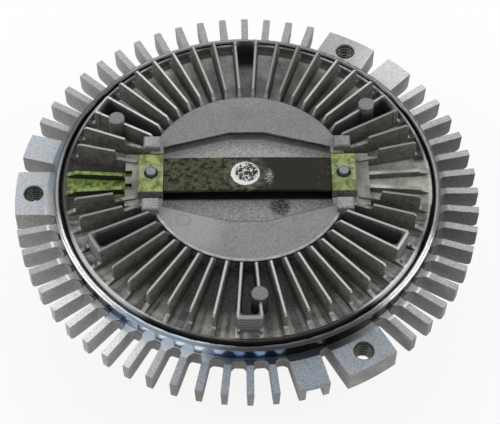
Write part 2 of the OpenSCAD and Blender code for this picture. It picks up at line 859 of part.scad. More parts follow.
module control_pin() {
    color([0.7, 0.7, 0.7]) rotate_extrude() polygon([
        [0, pin_bottom_z],
        [pin_r - edge_break, pin_bottom_z],
        [pin_r, pin_bottom_z + edge_break],
        [pin_r, pin_groove_z],
        [pin_groove_r, pin_groove_z],
        [pin_groove_r, pin_groove_z + pin_groove_w],
        [pin_r, pin_groove_z + pin_groove_w],
        [pin_r, pin_top_z - edge_break],
        [pin_r - edge_break, pin_top_z],
        [0, pin_top_z]
    ]);
}

module pin_seal() {
    color([0.05, 0.05, 0.05]) rotate_extrude()
        translate([pin_r - pin_ring_r, pin_groove_z + pin_groove_w / 2]) circle(pin_ring_r, $fn = 32);
}

module separator_plate() {
    color([0.62, 0.63, 0.64]) difference() {
        translate([0, 0, separator_z - separator_t])
            cylinder(r = separator_r, h = separator_t, $fn = round_fn);
        translate([0, port_y, separator_z - separator_t - sink])
            cylinder(r = port_r, h = separator_t + 2 * sink, $fn = 48);
        for (s = [-1, 1]) translate([s * rivet_x, -rivet_y, separator_z - separator_t - sink])
            cylinder(r = rivet_r + touch, h = separator_t + 2 * sink, $fn = 48);
    }
}

// Spring leaf that lies on the separator plate and closes the feed port
module valve_lever() {
    color([0.66, 0.67, 0.7]) translate([0, 0, leaf_z]) linear_extrude(leaf_t) difference() {
        union() {
            translate([-leaf_root_w / 2, -leaf_edge_y]) square([leaf_root_w, leaf_root_l]);
            translate([-leaf_arm_w / 2, -leaf_edge_y]) square([leaf_arm_w, leaf_edge_y + port_y]);
            translate([0, port_y]) circle(leaf_tip_r, $fn = 48);
        }
        for (s = [-1, 1]) translate([s * rivet_x, -rivet_y]) circle(rivet_r + rivet_play, $fn = 48);
    }
}

// Rivets that hold the leaf's fixed edge and leave it room to lift
module lever_rivets() {
    head_z = leaf_z + leaf_t + rivet_lift;
    foot_z = separator_z - separator_t - rivet_head_h;
    color([0.6, 0.6, 0.58]) for (s = [-1, 1]) translate([s * rivet_x, -rivet_y, 0]) {
        translate([0, 0, foot_z]) cylinder(r = rivet_head_r, h = rivet_head_h, $fn = 48);
        translate([0, 0, foot_z]) cylinder(r = rivet_r, h = head_z - foot_z + rivet_head_h, $fn = 48);
        translate([0, 0, head_z]) cylinder(r = rivet_head_r, h = rivet_head_h, $fn = 48);
    }
}

// Block under the cover that dams the fluid at the rotor's rim
module pump_wiper() {
    wiper_h = ceiling_z - rotor_face_z - wiper_gap;
    color([0.3, 0.27, 0.2]) rotate(boss_first)
        translate([rotor_r - wiper_w, -wiper_l / 2, ceiling_z - wiper_h]) cube([wiper_w, wiper_l, wiper_h]);
}

module rotor() {
    bore_r = rotor_seat_r + rotor_bore_fit;
    color([0.7, 0.7, 0.71]) difference() {
        union() {
            rotate_extrude($fn = round_fn) polygon([
                [bore_r, bearing_top_z + touch],
                [rotor_boss_r, bearing_top_z + touch],
                [rotor_boss_r, rotor_z],
                [rotor_r, rotor_z],
                [rotor_r, rotor_face_z],
                [rotor_well_r, rotor_face_z],
                [rotor_well_r, rotor_well_z],
                [bore_r, rotor_well_z]
            ]);
            for (i = [0:lands - 1]) let (r = first_land_r + i * land_pitch)
                ring(r - land_t / 2, r + land_t / 2, rotor_face_z - sink, land_top_z - rotor_face_z + sink);
        }
        for (i = [0:rotor_holes - 1]) rotate(i * 360 / rotor_holes)
            translate([rotor_hole_circle_r, 0, rotor_z - sink])
                cylinder(r = rotor_hole_r, h = rotor_t + 2 * sink, $fn = 48);
    }
}

// Open spring ring in a groove, with its gap to one side
module open_ring(r_in, r_out, z, t, gap) {
    difference() {
        ring(r_in, r_out, z, t);
        translate([0, -gap / 2, z - sink]) cube([r_out + sink, gap, t + 2 * sink]);
    }
}

module rotor_retaining_ring() {
    color([0.35, 0.35, 0.36])
        open_ring(shaft_groove_r + touch, shaft_groove_r + shaft_ring_w, rotor_well_z + touch, shaft_ring_t,
                  shaft_ring_opening);
}

module drive_hub() {
    groove_z = rotor_well_z;
    groove_top_z = rotor_well_z + shaft_ring_t + ring_gap;
    color([0.55, 0.55, 0.55]) rotate_extrude($fn = round_fn) polygon([
        [0, pilot_depth + centre_depth + centre_core_r / 2],
        [centre_core_r, pilot_depth + centre_depth],
        [centre_core_r, pilot_depth],
        [pilot_r, pilot_depth],
        [pilot_r, edge_break],
        [pilot_r + edge_break, 0],
        [hub_flange_r - hub_chamfer, 0],
        [hub_flange_r, hub_chamfer],
        [hub_flange_r, hub_flange_t - hub_chamfer],
        [hub_flange_r - hub_chamfer, hub_flange_t],
        [hub_neck_r + hub_chamfer, hub_flange_t],
        [hub_neck_r, hub_flange_t + hub_chamfer],
        [hub_neck_r, bearing_z],
        [bearing_bore_r, bearing_z],
        [bearing_bore_r, bearing_top_z],
        [rotor_seat_r, bearing_top_z],
        [rotor_seat_r, groove_z],
        [shaft_groove_r, groove_z],
        [shaft_groove_r, groove_top_z],
        [rotor_seat_r, groove_top_z],
        [rotor_seat_r, shaft_end_z - edge_break],
        [rotor_seat_r - edge_break, shaft_end_z],
        [0, shaft_end_z]
    ]);
}

// Ball track that is cut into both bearing rings
module ball_track() {
    rotate_extrude($fn = round_fn) translate([pitch_r, bearing_mid_z]) circle(race_r, $fn = 64);
}

module bearing_inner_ring() {
    color([0.78, 0.79, 0.8]) difference() {
        ring(bearing_bore_r + bearing_fit, inner_shoulder_r, bearing_z, bearing_w);
        ball_track();
    }
}

module bearing_outer_ring() {
    color([0.78, 0.79, 0.8]) difference() {
        ring(outer_shoulder_r, bearing_r - bearing_fit, bearing_z, bearing_w);
        ball_track();
        for (z = shield_heights())
            ring(outer_shoulder_r - sink, shield_r + touch, z - touch, shield_t + 2 * touch);
    }
}

// Heights of the rear and front shields
function shield_heights() = [bearing_z + shield_inset, bearing_top_z - shield_inset - shield_t];

module bearing_shield(z) {
    color([0.12, 0.12, 0.12]) ring(inner_shoulder_r + shield_gap, shield_r, z, shield_t);
}

module bearing_rear_shield() {
    bearing_shield(shield_heights()[0]);
}

module bearing_front_shield() {
    bearing_shield(shield_heights()[1]);
}

module ball_places() {
    for (i = [0:balls - 1]) rotate(i * 360 / balls) translate([pitch_r, 0, bearing_mid_z]) children();
}

module bearing_balls() {
    color([0.85, 0.85, 0.87]) ball_places() sphere(ball_r, $fn = 64);
}

module bearing_cage() {
    color([0.6, 0.5, 0.25]) difference() {
        ring(pitch_r - cage_t / 2, pitch_r + cage_t / 2, bearing_mid_z - cage_w / 2, cage_w);
        ball_places() sphere(race_r, $fn = 64);
    }
}

module bearing_retaining_ring() {
    r_out = bearing_r + clip_groove_depth - touch;
    color([0.35, 0.35, 0.36]) rotate(90)
        open_ring(r_out - bearing_ring_w, r_out, bearing_z - clip_ring_t - touch, clip_ring_t,
                  bearing_ring_opening);
}

rear_housing();
front_cover();
cover_seal();
bimetal_strip();
left_strip_clip();
right_strip_clip();
control_pin();
pin_seal();
separator_plate();
valve_lever();
lever_rivets();
pump_wiper();
rotor();
rotor_retaining_ring();
drive_hub();
bearing_inner_ring();
bearing_outer_ring();
bearing_balls();
bearing_cage();
bearing_front_shield();
bearing_rear_shield();
bearing_retaining_ring();
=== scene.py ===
import math

import bmesh
import bpy
from mathutils import Matrix, Vector


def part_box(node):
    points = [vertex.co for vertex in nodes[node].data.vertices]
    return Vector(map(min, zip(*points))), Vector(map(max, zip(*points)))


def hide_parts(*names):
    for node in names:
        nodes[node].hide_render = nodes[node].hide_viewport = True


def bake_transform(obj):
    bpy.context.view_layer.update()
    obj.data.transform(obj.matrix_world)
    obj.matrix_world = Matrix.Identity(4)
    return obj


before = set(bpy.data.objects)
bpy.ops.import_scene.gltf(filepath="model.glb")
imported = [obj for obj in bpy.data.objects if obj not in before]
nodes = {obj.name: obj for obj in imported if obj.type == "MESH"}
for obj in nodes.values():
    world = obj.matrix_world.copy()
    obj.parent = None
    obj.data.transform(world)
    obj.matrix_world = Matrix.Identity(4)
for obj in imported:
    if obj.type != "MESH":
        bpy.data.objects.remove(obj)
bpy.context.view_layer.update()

# Sizes of the clutch in millimetres and degrees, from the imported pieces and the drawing's steps
MM = 0.001
TIP_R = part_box("rear_housing")[1][1] / MM
RIM_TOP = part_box("rear_housing")[1][2] / MM
FAN_FACE = RIM_TOP - 5.4
RIM_BORE_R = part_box("cover_seal")[1][1] / MM + 0.125
WALL_R = RIM_BORE_R + 1.2
RELIEF_W = 3.8
RELIEF_H = 1.9
OUTER_PITCH = 6.0
OUTER_FIN_HALF = 1.3
ROOT_FLARE = 1.1
LAND_TURN = 54.0
LAND_STEP = 120.0
LAND_HALF = 13.5
BOSS_TURNS = (60, 180, 300)
BOLT_CIRCLE_R = 83.0
BOLT_MOUTH_R = 4.1
THREAD_PITCH = 1.25

CHANNEL = FAN_FACE + 4.7
FLANGE = FAN_FACE + 5.8
FLANGE_R = RIM_BORE_R - 1.45
FIN_END_R = FLANGE_R - 4.55
FIN_PITCH = 7.5
FIN_START_R = 44.0
FIN_MIDDLE_R = 57.0
BAY_END_R = 65.6
FIN_TOP = FAN_FACE + 13.0
POCKET_TURN = 30.0
POCKET_STEP = 60.0
POST_CIRCLE_R = 56.6
POST_R = 3.15
POST_TURNS = (33.75, 153.75, 273.75)
TROUGH = FAN_FACE + 5.9
TROUGH_END_X = 32.5
TROUGH_HALF_W = 21.2
TROUGH_FLAT_X = 6.8
TROUGH_TAPER = 0.277
LOW_RIB = FAN_FACE + 7.6
LOW_RIB_X = 43.0
END_WALL = FAN_FACE + 8.2
END_WALL_IN_X = 42.2
END_WALL_OUT_X = 47.4
END_WALL_HALF_W = 12.5
DISC = FAN_FACE + 10.6
DISC_R = 39.2
DISC_MARK = (-24.5, -20.7)
DISC_PATCH = (-21, -24)
TROUGH_SMUDGE = (12.3, -11.6)
PEG_X = 36.9
PEG_R = 2.05
LUG_HALF_L = 3.6
LUG_IN_Y = 11.7
LUG_OUT_Y = 17.9

STRIP_HALF_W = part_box("bimetal_strip")[1][1] / MM
CLIP_IN_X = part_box("right_strip_clip")[0][0] / MM
PAINT_DAB = (-0.8, 0)
PAINT_DAB_R = 5.5
PAINT_CHIPS = (-0.3, 0.6)
PAINT_SMEAR = (8.2, -1.5)


class Field:
    """A shader socket that takes part in Python expressions."""

    def __init__(self, finish, socket):
        self.finish = finish
        self.socket = socket

    def math(self, operation, *others):
        inputs = {i: value for i, value in enumerate((self,) + others)}
        return self.finish.add("Math", {"operation": operation}, inputs)

    def __add__(self, other):
        return self.math("ADD", other)

    def __radd__(self, other):
        return self.math("ADD", other)

    def __sub__(self, other):
        return self.math("SUBTRACT", other)

    def __rsub__(self, other):
        return self.math("MULTIPLY_ADD", -1.0, other)

    def __mul__(self, other):
        return self.math("MULTIPLY", other)

    def __rmul__(self, other):
        return self.math("MULTIPLY", other)

    def __truediv__(self, other):
        return self.math("DIVIDE", other)

    def __rtruediv__(self, other):
        return self.finish.add("Math", {"operation": "DIVIDE"}, {0: other, 1: self})

    def __neg__(self):
        return self.math("MULTIPLY", -1.0)

    def __abs__(self):
        return self.math("ABSOLUTE")

    def length(self, other):
        """Length of the vector with these two parts."""
        return (self * self + other * other).math("SQRT")

    def rise(self, low, high):
        """0 before low, 1 after high and smooth between them; it falls where high is the smaller."""
        settings = {"interpolation_type": "SMOOTHSTEP", "clamp": True}
        limits = {"Value": self, "From Min": low, "From Max": high, "To Min": 0.0, "To Max": 1.0}
        return self.finish.add("MapRange", settings, limits)

    def between(self, low, high, soft):
        return self.rise(low - soft, low) * self.rise(high + soft, high)


class Finish:
    """One material's node tree, with a Principled shader at its end."""

    def __init__(self, name, **constants):
        self.material = bpy.data.materials.new(name)
        self.material.use_nodes = True
        self.tree = self.material.node_tree
        self.tree.nodes.clear()
        output = self.tree.nodes.new("ShaderNodeOutputMaterial")
        self.shader = self.tree.nodes.new("ShaderNodeBsdfPrincipled")
        self.tree.links.new(self.shader.outputs[0], output.inputs["Surface"])
        for socket, value in constants.items():
            self.shader.inputs[socket.replace("_", " ")].default_value = value

    def add(self, kind, settings=None, inputs=None, output=0):
        """A node of one kind, with its settings made first and then its sockets set or linked."""
        node = self.tree.nodes.new("ShaderNode" + kind)
        for key, value in (settings or {}).items():
            setattr(node, key, value)
        for key, value in (inputs or {}).items():
            if isinstance(value, Field):
                self.tree.links.new(value.socket, node.inputs[key])
            else:
                node.inputs[key].default_value = value
        return Field(self, node.outputs[output])

    def parts(self, vector):
        """The x, y and z parts of a vector."""
        x = self.add("SeparateXYZ", inputs={0: vector})
        sockets = x.socket.node.outputs
        return x, Field(self, sockets[1]), Field(self, sockets[2])

    def place(self):
        """The point on the object in millimetres."""
        metres = self.add("TexCoord", output="Object")
        return self.add("VectorMath", {"operation": "SCALE"}, {0: metres, "Scale": 1 / MM})

    def facing(self):
        """The x, y and z parts of the direction that the surface faces."""
        return self.parts(self.add("NewGeometry", output="Normal"))

    def noise(self, point, size, detail=3.0, rough=0.55):
        """Cloudy noise about 0.5, with features of about size millimetres."""
        inputs = {"Vector": point, "Scale": 1.0 / size, "Detail": detail, "Roughness": rough}
        return self.add("TexNoise", inputs=inputs)

    def mix(self, mask, below, above):
        """Colour below where mask is 0 and above where it is 1."""
        return self.add("Mix", {"data_type": "RGBA"}, {0: mask, 6: below, 7: above}, output=2)

    def bump(self, height, depth, edge=0.0):
        """Relief of depth millimetres, over edges that are rounded to a radius of edge millimetres."""
        inputs = {"Height": height, "Distance": depth * MM}
        if edge:
            inputs["Normal"] = self.add("Bevel", {"samples": 6}, {"Radius": edge * MM})
        return self.add("Bump", inputs=inputs)

    def glow_to_eye(self, share):
        """Blends plain white over the shader for the camera and for what mirrors or shines through."""
        path = self.add("LightPath", output="Is Camera Ray")
        kinds = path.socket.node.outputs
        seen = path.math("MAXIMUM", Field(self, kinds["Is Glossy Ray"]))
        seen = seen.math("MAXIMUM", Field(self, kinds["Is Transmission Ray"]))
        white = self.add("Emission", inputs={"Color": (1, 1, 1, 1), "Strength": 1.0})
        under = Field(self, self.shader.outputs[0])
        blend = self.add("MixShader", inputs={0: seen * share, 1: under, 2: white})
        output = self.tree.nodes["Material Output"]
        self.tree.links.new(blend.socket, output.inputs["Surface"])

    def wear(self, **fields):
        """Links what varies over the surface to the shader."""
        for socket, field in fields.items():
            self.tree.links.new(field.socket, self.shader.inputs[socket.replace("_", " ")])
        return self.material


def grey(level, warm=0.0):
    """A grey of one brightness, a little yellow where warm is over 0 and blue where it is under 0."""
    return (level * (1 + warm), level, level * (1 - warm), 1.0)


def around(x, y):
    """Radius, the direction from the axis in two parts, and that direction's turn in degrees."""
    radius = x.length(y)
    return radius, x / radius, y / radius, y.math("ARCTAN2", x) * (180 / math.pi)


def lobe(east, north, turn, wide):
    """1 about the direction turn, and 0 from wide degrees beside it."""
    angle = math.radians(turn)
    cosine = east * math.cos(angle) + north * math.sin(angle)
    return cosine.rise(math.cos(math.radians(wide)), math.cos(math.radians(wide * 0.3)))


def from_axis(x, y, axis):
    """Distance to an upright axis."""
    return (x - axis[0]).length(y - axis[1])


def from_axes(x, y, circle_r, turns):
    """Distance to the nearest of the upright axes that stand on one circle."""
    nearest = None
    for turn in turns:
        angle = math.radians(turn)
        away = from_axis(x, y, (circle_r * math.cos(angle), circle_r * math.sin(angle)))
        nearest = away if nearest is None else nearest.math("MINIMUM", away)
    return nearest


def housing_casting():
    """Blasted fins and bosses, turned slopes beside the rim, polished rim and threaded bolt holes, with
    painted light, shade, highlights and reflections in zones round the axis.
    """
    f = Finish("housing_casting")
    point = f.place()
    x, y, z = f.parts(point)
    radius, east, north, turn = around(x, y)
    normal_x, _, up = f.facing()
    grit = f.noise(point, 0.55, 3.0, 0.75)
    cloud = f.noise(point, 8.0)
    ripple = f.noise(point, 3.0, 2.0)

    # Where each finish lies
    above = z.rise(FAN_FACE, FAN_FACE + 0.2)
    wall_foot = FAN_FACE - RELIEF_H
    below = z.rise(wall_foot - 0.2, wall_foot) * radius.rise(WALL_R + 0.2, WALL_R + 0.1)
    outside = 1 - above.math("MAXIMUM", below)
    front = z.rise(FAN_FACE - 0.5, FAN_FACE - 0.2)
    crown = outside * front * up.rise(0.5, 0.8)
    relief_r = WALL_R + RELIEF_W
    slope = outside * radius.rise(relief_r + 0.2, relief_r) * up.between(0.6, 0.95, 0.08)
    rim = (1 - outside) * radius.rise(RIM_BORE_R - 1.4, RIM_BORE_R - 1.0)
    bead = rim * z.rise(RIM_TOP - 1.0, RIM_TOP - 0.6)
    hole = from_axes(x, y, BOLT_CIRCLE_R, BOSS_TURNS)
    thread = hole.rise(BOLT_MOUTH_R + 0.1, BOLT_MOUTH_R) * (1 - crown)

    # Blasted sides and tops of the fins and bosses, with painted light, shade, highlights and reflections
    # in zones round the axis
    speckle = grit.rise(0.32, 0.68)
    side = f.mix(cloud.rise(0.3, 0.7) * 0.5 + speckle * 0.5, grey(0.14, 0.02), grey(0.36))
    # Painted light on the sides at the far left and near left, painted shade on the sides at the right
    side = f.mix(lobe(east, north, 130, 40) * 0.6, side, f.mix(speckle, grey(0.24), grey(0.52)))
    side = f.mix(lobe(east, north, 206, 46), side, f.mix(speckle, grey(0.24, 0.02), grey(0.54)))
    side = f.mix(lobe(east, north, 2, 34), side, f.mix(speckle, grey(0.055), grey(0.2)))

    top = f.mix(speckle, grey(0.31, -0.03), grey(0.56, -0.02))
    # Tops: painted shade at the far side, a painted blue reflection at the left, painted highlights at the
    # near left and far right, bluish painted shade at the near side, and painted highlights along the
    # feet's edges at the near left and near right
    top = f.mix(lobe(east, north, 92, 34), top, f.mix(speckle, grey(0.25, -0.03), grey(0.46, -0.02)))
    bluish = f.mix(speckle, (0.365, 0.395, 0.425, 1), (0.61, 0.64, 0.68, 1))
    top = f.mix(lobe(east, north, 172, 24), top, bluish)
    rubbed_and_highlight = f.mix(speckle, grey(0.62), grey(1.0))
    top = f.mix(lobe(east, north, 226, 22), top, rubbed_and_highlight)
    top = f.mix(lobe(east, north, 41, 19) * 0.6, top, rubbed_and_highlight)
    painted_shade_tops = f.mix(speckle, (0.17, 0.205, 0.24, 1), (0.34, 0.385, 0.43, 1))
    painted_shade_zone = lobe(east, north, 274, 32).math("MAXIMUM", lobe(east, north, 300, 14) * 0.8)
    top = f.mix(painted_shade_zone, top, painted_shade_tops)
    foot_edge = radius.between(relief_r - 0.7, relief_r + 0.7, 0.5)
    lit_feet = lobe(east, north, 208, 26).math("MAXIMUM", lobe(east, north, 324, 20))
    top = f.mix(foot_edge * lit_feet, top, grey(1.0))
    colour = f.mix(crown, side, top)

    # Turned slope at the fins' feet, and the rough roots between them; the slope's zones round the axis are
    # painted reflections and painted shade
    # Pale turned metal; painted shade at the near side and the right, painted blue-white and blue
    # reflections at the near left and the left
    turned = f.mix(ripple.rise(0.3, 0.7), grey(0.8), grey(1.0))
    turned = f.mix(lobe(east, north, 281, 32), turned, (0.05, 0.056, 0.066, 1))
    turned = f.mix(lobe(east, north, 247, 13), turned, (0.74, 0.81, 0.88, 1))
    turned = f.mix(lobe(east, north, 357, 28), turned, grey(0.45))
    turned = f.mix(lobe(east, north, 157, 30), turned, (0.35, 0.43, 0.55, 1))
    from_fin = abs(turn.math("WRAP", OUTER_PITCH / 2, -OUTER_PITCH / 2)) * radius * (math.pi / 180)
    from_land = abs((turn - LAND_TURN).math("WRAP", LAND_STEP / 2, -LAND_STEP / 2))
    land = from_land.rise(LAND_HALF + 0.3, LAND_HALF - 0.3)
    flare = OUTER_FIN_HALF + radius.rise(WALL_R + 3, WALL_R) * ROOT_FLARE
    ridge = (from_fin - flare).rise(0.25, -0.05).math("MAXIMUM", land)
    root = f.mix(speckle, grey(0.11, 0.02), grey(0.24, 0.02))
    colour = f.mix(slope, colour, f.mix(ridge, root, turned))

    # Polished wall and rolled bead of the rim, coloured with painted reflections, highlights and shade in
    # zones round the axis
    # The wall's dark steel is a painted reflection of dark surroundings, with a painted blue reflection and
    # a painted white gleam at the near left
    steel = f.mix(cloud.rise(0.3, 0.7), grey(0.03, -0.1), grey(0.14, -0.1))
    blue = f.mix(cloud.rise(0.3, 0.7), (0.1, 0.19, 0.34, 1), (0.22, 0.42, 0.7, 1))
    steel = f.mix(lobe(east, north, 252, 32), steel, blue)
    gleam = lobe(east, north, 247, 17) * 0.9
    steel = f.mix(gleam, steel, (0.92, 0.97, 1.0, 1))
    # Bead: painted highlights at the near left and near right, a painted blue reflection at the near left,
    # painted shade at the near side and the far left
    rolled = f.mix(lobe(east, north, 217, 29), grey(0.18), grey(0.62))
    rolled = f.mix(lobe(east, north, 326, 18), rolled, grey(0.62))
    rolled = f.mix(lobe(east, north, 244, 22), rolled, (0.34, 0.41, 0.47, 1))
    rolled = f.mix(lobe(east, north, 284, 28), rolled, grey(0.08))
    rolled = f.mix(lobe(east, north, 150, 24), rolled, grey(0.08))
    colour = f.mix(rim, colour, f.mix(bead, steel, rolled))

    # Threads in the bolt holes: dark as painted shade, with painted glints on the threads whose walls face
    # sideways, brighter in the hole at the far right
    grooves = (z * (2 * math.pi / THREAD_PITCH)).math("SINE")
    flecks = f.noise(point, 1.1, 2.0).rise(0.4, 0.6)
    glint = grooves.rise(-0.4, 0.5) * (0.2 + 0.8 * abs(normal_x)) * z.rise(FAN_FACE - 0.4, FAN_FACE - 1.4)
    glint = glint * (0.35 + 0.65 * flecks) * (0.5 + 0.5 * lobe(east, north, 60, 10))
    colour = f.mix(thread, colour, f.mix(glint, (0.012, 0.013, 0.011, 1), (0.95, 0.95, 0.8, 1)))

    bright = slope.math("MAXIMUM", rim)
    rough = 0.6 + 0.12 * grit - 0.42 * rim - 0.2 * thread
    height = grit * (1 - bright) + cloud * 0.4 + thread * grooves * 2 + bright * ripple * 1.2
    metal = 0.2 + 0.8 * rim.math("MAXIMUM", thread)
    normal = f.bump(height, 0.1, edge=0.35)
    return f.wear(Base_Color=colour, Roughness=rough, Metallic=metal, Normal=normal)


def cover_casting():
    """Bright fin crests with painted highlights over dark channels with painted shade, a grey speckled
    disc, and a trough with a black smudge and a painted shadow under the strip.
    """
    f = Finish("cover_casting", Specular_IOR_Level=0.15)
    point = f.place()
    x, y, z = f.parts(point)
    radius, east, north, turn = around(x, y)
    along = abs(x)
    beside = abs(y)
    normal_x, normal_y, up = f.facing()
    outward = normal_x * east + normal_y * north
    grit = f.noise(point, 0.6, 3.0, 0.75)
    mottle = f.noise(point, 2.2, 3.0)
    cloud = f.noise(point, 9.0)
    speckle = grit.rise(0.3, 0.7)
    blotch = mottle.rise(0.32, 0.68)
    flat = up.rise(0.3, 0.65)
    middle = radius.rise(DISC_R + 0.6, DISC_R + 0.1)

    # Walls and floors of the channels between the fins, with painted shade and painted light
    walls = f.mix(speckle * 0.6 + blotch * 0.4, (0.06, 0.06, 0.053, 1), (0.2, 0.202, 0.184, 1))
    ledge_waves = 5.2
    ledges = (z * ledge_waves).math("SINE").rise(-0.3, 0.7) * 0.6 + speckle * 0.4
    facing_out = outward.rise(0.6, 0.85)
    fin_end = facing_out * radius.rise(FIN_START_R + 6, FIN_START_R + 10)
    walls = f.mix(fin_end * 0.8, walls, f.mix(ledges, grey(0.06), grey(0.3)))
    disc_foot = facing_out * radius.rise(FIN_START_R + 2, FIN_START_R)
    walls = f.mix(disc_foot, walls, f.mix(blotch, grey(0.05), grey(0.16)))
    from_pocket = abs((turn - POCKET_TURN).math("WRAP", POCKET_STEP / 2, -POCKET_STEP / 2))
    arch = from_pocket.rise(FIN_PITCH / 2 + 0.2, FIN_PITCH / 2)
    # Painted shade on the inner walls of the pockets
    walls = f.mix(arch * outward.rise(0.5, 0.2) * z.rise(FIN_TOP, FIN_TOP - 1.5), walls, grey(0.06))
    near = y.rise(10, -30)
    lit = cloud.rise(0.35, 0.7) * 0.6 + speckle * 0.4
    half_turn = turn - FIN_PITCH / 2
    streak = f.add("TexNoise", {"noise_dimensions": "1D"}, {"W": half_turn, "Scale": 0.35, "Detail": 1.0})
    pale = streak.rise(0.42, 0.58) * 0.4 + cloud.rise(0.4, 0.6) * 0.25 + speckle * 0.35
    # Far floors: painted light at the far side and painted shadow at their outer ends
    bays = f.mix(lit, grey(0.1, 0.04), grey(0.42, 0.03))
    bays = f.mix(lobe(east, north, 108, 46), bays, f.mix(lit, grey(0.16, 0.04), grey(0.62, 0.03)))
    bays = f.mix(radius.rise(BAY_END_R, BAY_END_R + 1.2), bays, grey(0.035, 0.05))
    # Near floors: painted shade at their inner part, paler and streaked further out
    hollows = f.mix(speckle, grey(0.045, 0.05), grey(0.17, 0.05))
    outer = radius.rise(FIN_MIDDLE_R, FIN_MIDDLE_R + 6)
    hollows = f.mix(outer, hollows, f.mix(pale, grey(0.05, 0.06), grey(0.45, 0.04)))
    floors = f.mix(near, bays, hollows)
    # Painted shade on the floors of the pockets
    painted_shade = f.mix(speckle, grey(0.025, 0.05), grey(0.07, 0.05))
    floors = f.mix(arch * radius.rise(FIN_MIDDLE_R, FIN_MIDDLE_R + 5), floors, painted_shade)
    colour = f.mix(flat, walls, floors)

    # Flange round the fins, with its lip and bevel, coloured with painted light, shade and highlights
    brim = radius.rise(FLANGE_R - 5.2, FLANGE_R - 4.4) * z.rise(FLANGE + 0.8, FLANGE + 0.4)
    # Painted shade on the brim at the far side, painted light at the near side
    brim_skin = f.mix(lit, grey(0.03, 0.08), grey(0.07, 0.06))
    brim_skin = f.mix(near, brim_skin, f.mix(pale, grey(0.07, 0.06), grey(0.52, 0.04)))
    colour = f.mix(brim * flat, colour, brim_skin)
    toe = radius.rise(FIN_END_R - 0.2, FIN_END_R + 0.3) * z.rise(FLANGE + 0.8, FLANGE + 1.3) * flat
    colour = f.mix(toe, colour, f.mix(speckle, grey(0.25, 0.03), grey(0.62, 0.02)))
    edge = radius.between(FLANGE_R - 1.25, FLANGE_R - 0.55, 0.12) * flat
    # Lip: painted shade at the far side, the near side and the left, painted highlights at the near left
    # and near right
    lip = f.mix(cloud.rise(0.35, 0.6), grey(0.13, 0.05), grey(0.3, 0.03))
    far_lip = f.mix(cloud.rise(0.4, 0.6), grey(0.06, 0.05), grey(0.2, 0.04))
    lip = f.mix(lobe(east, north, 98, 30), lip, far_lip)
    lip = f.mix(lobe(east, north, 221, 24), lip, grey(0.66))
    lip = f.mix(lobe(east, north, 319, 17), lip, grey(0.85))
    lip = f.mix(lobe(east, north, 283, 30), lip, grey(0.04))
    lip = f.mix(lobe(east, north, 177, 22), lip, grey(0.08))
    colour = f.mix(brim * edge, colour, lip)
    # Painted highlights on the bevel at the near left, near right and far right; elsewhere it is dark
    bevel_highlight = lobe(east, north, 218, 22).math("MAXIMUM", lobe(east, north, 322, 14))
    bevel_highlight = bevel_highlight.math("MAXIMUM", lobe(east, north, 46, 16) * 0.5)
    bevel = f.mix(bevel_highlight, grey(0.03), grey(0.6))
    colour = f.mix(radius.rise(FLANGE_R - 0.5, FLANGE_R - 0.4), colour, bevel)

    # Low ribs at the strip's ends, mossy at the left, with painted shade on the mossy ribs' sides and in
    # the corner beyond them
    low = z.rise(END_WALL + 0.2, LOW_RIB + 0.2)
    left_end = (-x).rise(LOW_RIB_X, LOW_RIB_X + 2) * beside.rise(6.5, 5.0) * low
    moss = f.mix(blotch, (0.06, 0.1, 0.025, 1), (0.28, 0.38, 0.11, 1))
    # Painted shade on the sides of the mossy ribs
    moss = f.mix(up.rise(0.6, 0.2), moss, (0.035, 0.045, 0.02, 1))
    colour = f.mix(left_end * radius.rise(FLANGE_R - 1, FLANGE_R - 2.5), colour, moss)
    # Painted shade in the corner beyond the mossy ribs
    corner = (-x).rise(LOW_RIB_X + 3, LOW_RIB_X + 5) * beside.between(6.0, END_WALL_HALF_W, 0.8)
    colour = f.mix(corner * z.rise(LOW_RIB - 1, CHANNEL + 0.5) * flat, colour, painted_shade)
    right_end = x.rise(LOW_RIB_X, LOW_RIB_X + 2) * beside.rise(12, 9) * low * flat
    colour = f.mix(right_end, colour, f.mix(lit, (0.2, 0.2, 0.17, 1), (0.58, 0.59, 0.53, 1)))

    # Crests of the fins, and the posts, with painted highlights and painted shade
    crest = flat * z.rise(FIN_TOP - 1.8, FIN_TOP - 1.2) * radius.rise(DISC_R - 0.4, DISC_R + 0.6)
    step = flat * z.between(END_WALL + 0.5, FIN_TOP - 2.0, 0.2) * radius.rise(DISC_R + 0.8, DISC_R + 1.4)
    colour = f.mix(step, colour, f.mix(blotch, grey(0.1, 0.04), grey(0.36, 0.03)))
    # Each crest is a painted highlight along its middle with painted shade at its edges, brighter still in
    # painted highlights by direction round the axis
    from_fin = abs(half_turn.math("WRAP", FIN_PITCH / 2, -FIN_PITCH / 2)) * radius * (math.pi / 180)
    from_arch = abs(radius - (FIN_END_R - 0.75))
    line = from_fin.rise(0.6, 0.2).math("MAXIMUM", from_arch.rise(0.7, 0.25) * arch)
    crest_highlight = lobe(east, north, 48, 20) * 0.75 + lobe(east, north, 137, 38) + lobe(east, north, 93, 12) * 0.25
    crest_highlight = crest_highlight + lobe(east, north, 244, 26) * 0.5 + lobe(east, north, 310, 36) * 0.7
    crest_highlight = crest_highlight + lobe(east, north, 272, 18) * 0.5
    crest_with_highlight = f.mix(crest_highlight, grey(0.25, 0.02), grey(0.68, 0.01))
    colour = f.mix(crest, colour, f.mix(line * (0.65 + 0.35 * speckle), grey(0.1, 0.02), crest_with_highlight))
    post = from_axes(x, y, POST_CIRCLE_R, POST_TURNS).rise(POST_R + 0.2, POST_R)
    colour = f.mix(post * flat * crest, colour, f.mix(speckle, grey(0.12, -0.01), grey(0.25, -0.01)))
    # Painted shade on the near sides of the posts
    colour = f.mix(post * near * up.rise(0.5, 0.3), colour, f.mix(speckle, grey(0.03), grey(0.09)))

